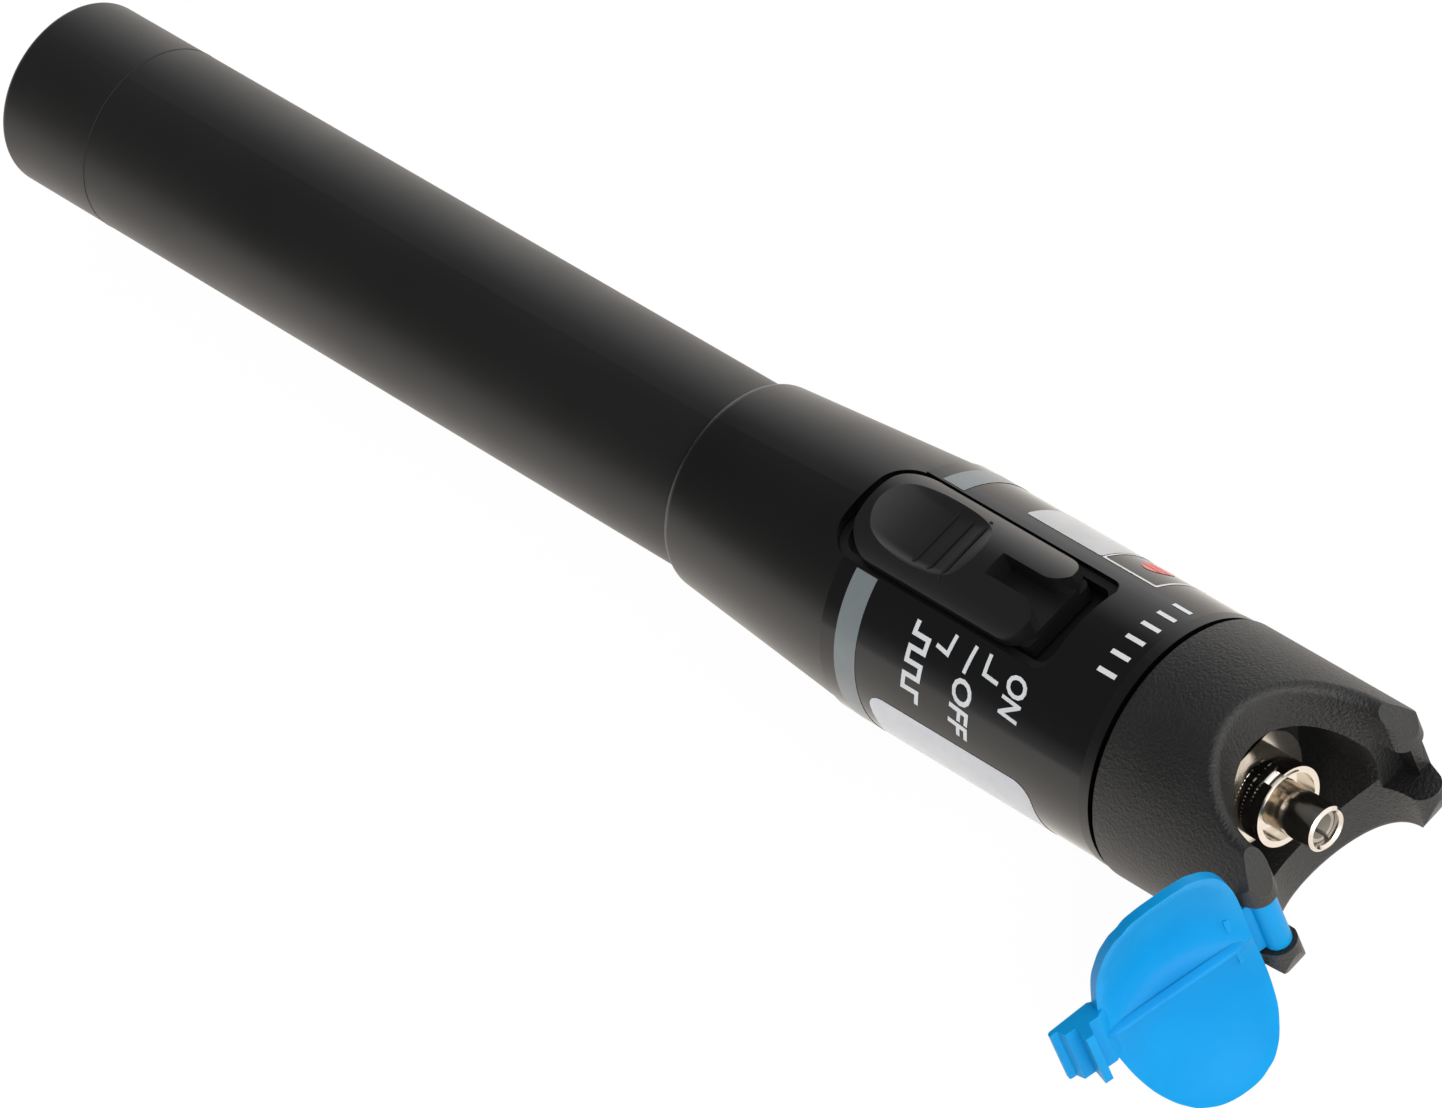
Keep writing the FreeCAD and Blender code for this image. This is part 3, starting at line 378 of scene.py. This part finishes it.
def turned_metal(name, tint, roughness, lines_per_m=2500.0, depth=0.000006):
    """A plated, turned metal: fine rings along x, slightly uneven tone and roughness."""
    mat, tree, shader = new_material(name)
    rings = noise(tree, position(tree, (1, 0.02, 0.02)), lines_per_m)
    soft = noise(tree, position(tree), 350.0)
    shade = [c * 0.9 for c in tint]
    tree.links.new(two_tones(tree, soft, shade, tint), shader.inputs["Base Color"])
    varied = two_tones(tree, rings, grey(roughness * 0.7), grey(roughness * 1.3))
    tree.links.new(varied, shader.inputs["Roughness"])
    set_value(shader, Metallic=1.0)
    bump(tree, shader, rings, 0.25, depth)
    return mat


def blue_plastic():
    mat, tree, shader = new_material("cap_blue")
    vec = position(tree)
    soft = noise(tree, vec, 120.0)
    colour = two_tones(tree, soft, (0.001, 0.262, 0.600), (0.002, 0.292, 0.650))
    tree.links.new(colour, shader.inputs["Base Color"])
    set_value(shader, Roughness=0.42, Specular_IOR_Level=0.15, Subsurface_Weight=0.2,
              Subsurface_Scale=0.0012, Subsurface_Radius=(0.15, 0.6, 1.0))
    bump(tree, shader, noise(tree, vec, 2500.0), 0.06, 0.00003)
    return mat


def clear_glass():
    mat, tree, shader = new_material("lens_glass")
    soft = noise(tree, position(tree), 200.0)
    colour = two_tones(tree, soft, (0.93, 0.96, 1.0), (0.97, 0.98, 1.0))
    tree.links.new(colour, shader.inputs["Base Color"])
    set_value(shader, Roughness=0.02, Transmission_Weight=1.0, IOR=1.52)
    return mat


# The sleeve's ceramic is white; its colour here is a darkened grey-tan, painted shade for the
# inside of the port.
def shade_darkened_ceramic():
    mat, tree, shader = new_material("sleeve_ceramic")
    soft = noise(tree, position(tree), 300.0)
    colour = two_tones(tree, soft, (0.34, 0.31, 0.27), (0.42, 0.39, 0.34))
    tree.links.new(colour, shader.inputs["Base Color"])
    set_value(shader, Roughness=0.3)
    return mat


def assign(obj, mat):
    obj.data.materials.clear()
    obj.data.materials.append(mat)


# ---- materials ----
black_tube = grained(
    "black_anodised_tube", (0.0050, 0.0048, 0.0046), (0.0066, 0.0063, 0.0060),
    grain=9000, roughness=0.44, strength=0.12, depth=0.00003)
black_cap = grained(
    "black_anodised_cap", (0.0052, 0.0050, 0.0048), (0.0068, 0.0065, 0.0062),
    grain=9000, roughness=0.44, strength=0.12, depth=0.00003)
black_sleeve = grained(
    "black_anodised_sleeve", (0.0014, 0.0013, 0.0012), (0.0022, 0.0021, 0.0019),
    grain=8000, roughness=0.34, strength=0.10, depth=0.00003)
head_plastic = grained(
    "head_plastic", (0.0050, 0.0050, 0.0048), (0.0190, 0.0190, 0.0185),
    grain=3000, roughness=0.44, strength=1.0, depth=0.00016)
knob_plastic = grained(
    "knob_plastic", (0.0055, 0.0055, 0.0057), (0.0080, 0.0080, 0.0082),
    grain=4500, roughness=0.33, strength=0.10, depth=0.00003)
bezel_plastic = grained(
    "bezel_plastic", (0.0040, 0.0040, 0.0042), (0.0055, 0.0055, 0.0058),
    grain=4500, roughness=0.35, strength=0.10, depth=0.00003)
label_gloss = grained(
    "label_gloss", (0.0010, 0.0010, 0.0012), (0.0016, 0.0016, 0.0019),
    grain=1500, roughness=0.14, strength=0.03, depth=0.00002)
rubber = grained(
    "seal_rubber", grey(0.010), grey(0.014),
    grain=3000, roughness=0.7, strength=0.2, depth=0.00003)
lever_plastic = grained(
    "lever_plastic", grey(0.02), grey(0.03),
    grain=3000, roughness=0.45, strength=0.1, depth=0.00002)
disc_plastic = grained(
    "disc_plastic", (0.60, 0.60, 0.56), (0.68, 0.68, 0.63),
    grain=2500, roughness=0.5, strength=0.1, depth=0.00002)
board_coat = grained(
    "board_coat", (0.015, 0.14, 0.05), (0.02, 0.18, 0.07),
    grain=2500, roughness=0.3, strength=0.1, depth=0.00002)
cell_wrap = grained(
    "cell_wrap", (0.08, 0.08, 0.09), (0.11, 0.11, 0.12),
    grain=2000, roughness=0.3, strength=0.05, depth=0.00002)
nickel = turned_metal("port_nickel", (0.80, 0.74, 0.66), 0.16)
sleeve_nickel = turned_metal("sleeve_nickel", (0.72, 0.67, 0.60), 0.14)
# The thread is the port's nickel plating; its brighter tint is a painted highlight on the crests,
# and its rougher finish is real.
thread_nickel_painted_highlight = turned_metal("thread_nickel_painted_highlight", (0.90, 0.84, 0.75), 0.26, 600.0, 0.000001)
steel = turned_metal("plated_steel", grey(0.62), 0.25)
brass = turned_metal("turned_brass", (0.78, 0.58, 0.25), 0.22)
diode_gold = turned_metal("diode_metal", (0.80, 0.68, 0.38), 0.2)
print_grey = printed("print_grey", (0.205, 0.235, 0.245), 0.4)
print_white = printed("print_white", (0.80, 0.82, 0.84))
print_label = printed("print_label", (0.72, 0.74, 0.78))
print_far = printed("print_far", (0.55, 0.56, 0.58))
print_red = printed("print_red", (0.80, 0.10, 0.09))

finishes = {
    "tail_cap": black_cap,
    "tail_seal_ring": rubber,
    "tail_spring": steel,
    "battery_tube": black_tube,
    "battery_rear": cell_wrap,
    "battery_front": cell_wrap,
    "contact_disc": disc_plastic,
    "front_contact": brass,
    "front_sleeve": black_sleeve,
    "label_wrap": label_gloss,
    "switch_bezel": bezel_plastic,
    "slider_knob": knob_plastic,
    "switch_lever": lever_plastic,
    "slide_switch_body": steel,
    "circuit_board": board_coat,
    "laser_housing": brass,
    "laser_diode": diode_gold,
    "focus_lens": clear_glass(),
    "lens_ring": brass,
    "head_upper_shell": head_plastic,
    "head_lower_shell": head_plastic,
    "port_body": nickel,
    "port_sleeve": sleeve_nickel,
    "ceramic_sleeve": shade_darkened_ceramic(),
    "dust_cap": blue_plastic(),
}
for node, mat in finishes.items():
    assign(nodes[node], mat)


# ---- printing on the wrap: plain fields and the generic words of a switch ----

def pulse_line():
    """A square wave round the pen, for the switch's third position."""
    here, there = PULSE_X
    start, end = PULSE_ENDS
    points = [(here, start)]
    for i in range(PULSE_EDGES):
        edge = PULSE_FIRST_EDGE + PULSE_EDGE_STEP * i
        points += [(here, edge), (there, edge)]
        here, there = there, here
    return points + [(here, end)]


def oval():
    points = []
    for i in range(OVAL_STEPS):
        a = 2 * math.pi * i / OVAL_STEPS
        points.append((OVAL_CENTRE[0] + OVAL_HALF[0] * math.cos(a),
                       OVAL_CENTRE[1] + OVAL_HALF[1] * math.sin(a)))
    return points


def printing():
    rear, front = BAND_X
    far_edge = 360 - POCKET_EDGE
    band = [(rear, POCKET_EDGE), (front, POCKET_EDGE), (front, far_edge), (rear, far_edge)]
    wrap_patch("print_band", band, print_grey)
    words_on_wrap("print_off", "OFF", OFF_X, OFF_SPAN, print_white)
    words_on_wrap("print_on", "ON", ON_X, ON_SPAN, print_white)
    wrap_patch("print_bar_middle", stroke(MIDDLE_BAR, MARK_STROKE), print_white)
    wrap_patch("print_bracket_rear", stroke(REAR_BRACKET, MARK_STROKE), print_white)
    wrap_patch("print_bracket_front", stroke(FRONT_BRACKET, MARK_STROKE), print_white)
    wrap_patch("print_pulse", stroke(pulse_line(), PULSE_STROKE), print_white)
    # the bare side label, then the far side's field and its thin frame with a red oval
    wrap_patch("print_side_label", rounded_field(*SIDE_LABEL, SIDE_LABEL_CORNER), print_label)
    wrap_patch("print_field_white", rounded_field(*FAR_FIELD, FAR_FIELD_CORNER), print_far)
    wrap_patch("print_frame", rounded_field(*FRAME_OUTER, FRAME_CORNER), print_white,
               inner=rounded_field(*FRAME_INNER, FRAME_CORNER))
    wrap_patch("print_oval", oval(), print_red)
    # a plain row of ticks near the wrap's front edge
    for index in range(TICK_COUNT):
        d = TICK_FIRST + TICK_STEP * index
        tick = stroke([(TICK_X[0], d), (TICK_X[1], d)], TICK_STROKE)
        wrap_patch(f"print_tick_{index}", tick, print_white)


# ---- the nose's thread, the cap's lip and the tail cap's seam ----

def nose_thread():
    turns = (NOSE_FRONT_X - NOSE_REAR_X - THREAD_END_GAP) / THREAD_PITCH
    count = int(turns * THREAD_STEPS)
    run_out = THREAD_STEPS * THREAD_FADE
    verts = []
    for i in range(count + 1):
        a = 2 * math.pi * i / THREAD_STEPS
        x = NOSE_REAR_X + THREAD_START + THREAD_PITCH * i / THREAD_STEPS
        fade = min(1.0, i / run_out, (count - i) / run_out)
        for along, height in THREAD_PROFILE:
            r = NOSE_R - THREAD_DEPTH + (height if height < 0 else height * fade)
            verts.append((x + along * THREAD_PITCH, r * math.sin(a), r * math.cos(a)))
    faces = strip_faces(count + 1, len(THREAD_PROFILE))
    obj = mesh_object("nose_thread", verts, faces, "barrel")
    assign(obj, thread_nickel_painted_highlight)


def on_cap(u, n, z):
    """A point of the open dust cap."""
    return (CAP_HINGE[0] + u * CAP_U[0] + n * CAP_N[0],
            CAP_HINGE[1] + u * CAP_U[1] + n * CAP_N[1], z)


def cap_ridge():
    """The crisp lip along the ridge between the cap's two lobes."""
    verts = []
    for i in range(RIDGE_STEPS + 1):
        s = i / RIDGE_STEPS
        sunk = 1.0 - min(1.0, s / RIDGE_FADE, (1.0 - s) / RIDGE_FADE) ** 0.5
        for z, height in RIDGE_SECTION:
            u = RIDGE_START_U + RIDGE_LENGTH * s
            verts.append(on_cap(u, height - RIDGE_SINK * sunk, z))
    faces = strip_faces(RIDGE_STEPS + 1, len(RIDGE_SECTION))
    obj = mesh_object("cap_ridge", verts, faces, "dust_cap")
    assign(obj, finishes["dust_cap"])


def seam_ring(name, x, radius, body):
    """The dark hairline where two turned pieces meet."""
    verts = []
    for i in range(SEAM_STEPS):
        a = 2 * math.pi * i / SEAM_STEPS
        for along, height in SEAM_SECTION:
            r = radius + height
            verts.append((x + along, r * math.sin(a), r * math.cos(a)))
    faces = strip_faces(SEAM_STEPS, len(SEAM_SECTION), closed=True)
    obj = mesh_object(name, verts, faces, body)
    assign(obj, rubber)


# ---- floor, light and camera ----

def mixed(tree, factor, first, second):
    mix = tree.nodes.new("ShaderNodeMixShader")
    tree.links.new(factor, mix.inputs[0])
    tree.links.new(first.outputs[0], mix.inputs[1])
    tree.links.new(second.outputs[0], mix.inputs[2])
    return mix


def glowing(tree, colour, strength=1.0):
    node = tree.nodes.new("ShaderNodeEmission")
    node.inputs["Color"].default_value = (*colour, 1)
    node.inputs["Strength"].default_value = strength
    return node


def floor():
    """A white floor that keeps a faint shadow; mirrored in the part it is a little warm."""
    bpy.ops.mesh.primitive_plane_add(size=FLOOR_SIZE, location=(0, 0, FLOOR_Z))
    obj = bpy.context.object
    obj.name = "floor"
    mat = bpy.data.materials.new("floor_white")
    mat.use_nodes = True
    tree = mat.node_tree
    tree.nodes.clear()
    out = tree.nodes.new("ShaderNodeOutputMaterial")
    matte = tree.nodes.new("ShaderNodeBsdfDiffuse")
    matte.inputs["Color"].default_value = (*grey(FLOOR_GREY), 1)
    path = tree.nodes.new("ShaderNodeLightPath")
    seen = tree.nodes.new("ShaderNodeMath")
    seen.operation = "MULTIPLY"
    seen.inputs[1].default_value = FLOOR_GLOW
    tree.links.new(path.outputs["Is Camera Ray"], seen.inputs[0])
    mirrored = tree.nodes.new("ShaderNodeMath")
    mirrored.operation = "MAXIMUM"
    tree.links.new(path.outputs["Is Glossy Ray"], mirrored.inputs[0])
    tree.links.new(path.outputs["Is Transmission Ray"], mirrored.inputs[1])
    white = glowing(tree, grey(1.0), FLOOR_GLOW_STRENGTH)
    plain = mixed(tree, seen.outputs[0], matte, white)
    look = mixed(tree, mirrored.outputs[0], plain, glowing(tree, FLOOR_MIRRORED))
    tree.links.new(look.outputs[0], out.inputs[0])
    obj.data.materials.append(mat)


def area_light(name, place, target, size, power):
    data = bpy.data.lights.new(name, "AREA")
    data.energy = power
    data.size = size
    obj = bpy.data.objects.new(name, data)
    bpy.context.scene.collection.objects.link(obj)
    obj.location = place
    direction = Vector(target) - Vector(place)
    obj.rotation_euler = direction.to_track_quat("-Z", "Y").to_euler()


def world():
    """A soft white tent with a dark gap in it, which the top of the pen mirrors."""
    studio = bpy.data.worlds.new("studio")
    bpy.context.scene.world = studio
    studio.use_nodes = True
    tree = studio.node_tree
    tree.nodes.clear()
    out = tree.nodes.new("ShaderNodeOutputWorld")
    coords = tree.nodes.new("ShaderNodeTexCoord")
    facing = tree.nodes.new("ShaderNodeVectorMath")
    facing.operation = "DOT_PRODUCT"
    facing.inputs[1].default_value = TENT_GAP
    tree.links.new(coords.outputs["Generated"], facing.inputs[0])
    spread = tree.nodes.new("ShaderNodeMapRange")
    spread.inputs["From Min"].default_value = -1.0
    spread.inputs["From Max"].default_value = 1.0
    tree.links.new(facing.outputs["Value"], spread.inputs["Value"])
    stops = [(place, grey(value)) for place, value in TENT_STOPS]
    shade = ramp(tree, spread.outputs["Result"], stops)
    tent = tree.nodes.new("ShaderNodeBackground")
    tree.links.new(shade, tent.inputs["Color"])
    tent.inputs["Strength"].default_value = TENT_STRENGTH
    white = tree.nodes.new("ShaderNodeBackground")
    white.inputs["Color"].default_value = (*grey(1.0), 1)
    path = tree.nodes.new("ShaderNodeLightPath")
    look = mixed(tree, path.outputs["Is Camera Ray"], tent, white)
    tree.links.new(look.outputs[0], out.inputs[0])


def camera():
    """The photo's camera, fitted to the pen's outline."""
    data = bpy.data.cameras.new("camera")
    data.sensor_fit = "HORIZONTAL"
    data.sensor_width = CAMERA_SENSOR
    data.lens = CAMERA_LENS
    data.clip_start = CAMERA_NEAR
    obj = bpy.data.objects.new("camera", data)
    bpy.context.scene.collection.objects.link(obj)
    axes = Matrix((CAMERA_RIGHT, CAMERA_UP, CAMERA_BACK))
    obj.matrix_world = Matrix.Translation(CAMERA_PLACE) @ axes.transposed().to_4x4()
    bpy.context.scene.camera = obj


printing()
nose_thread()
cap_ridge()
seam_ring("tail_cap_seam", TAIL_SEAM_X, TUBE_R, "tail_cap")
floor()
world()
camera()
area_light("front_soft", LIGHT_PLACE, LIGHT_TARGET, LIGHT_SIZE, LIGHT_POWER)
bpy.context.scene.view_settings.view_transform = "Standard"
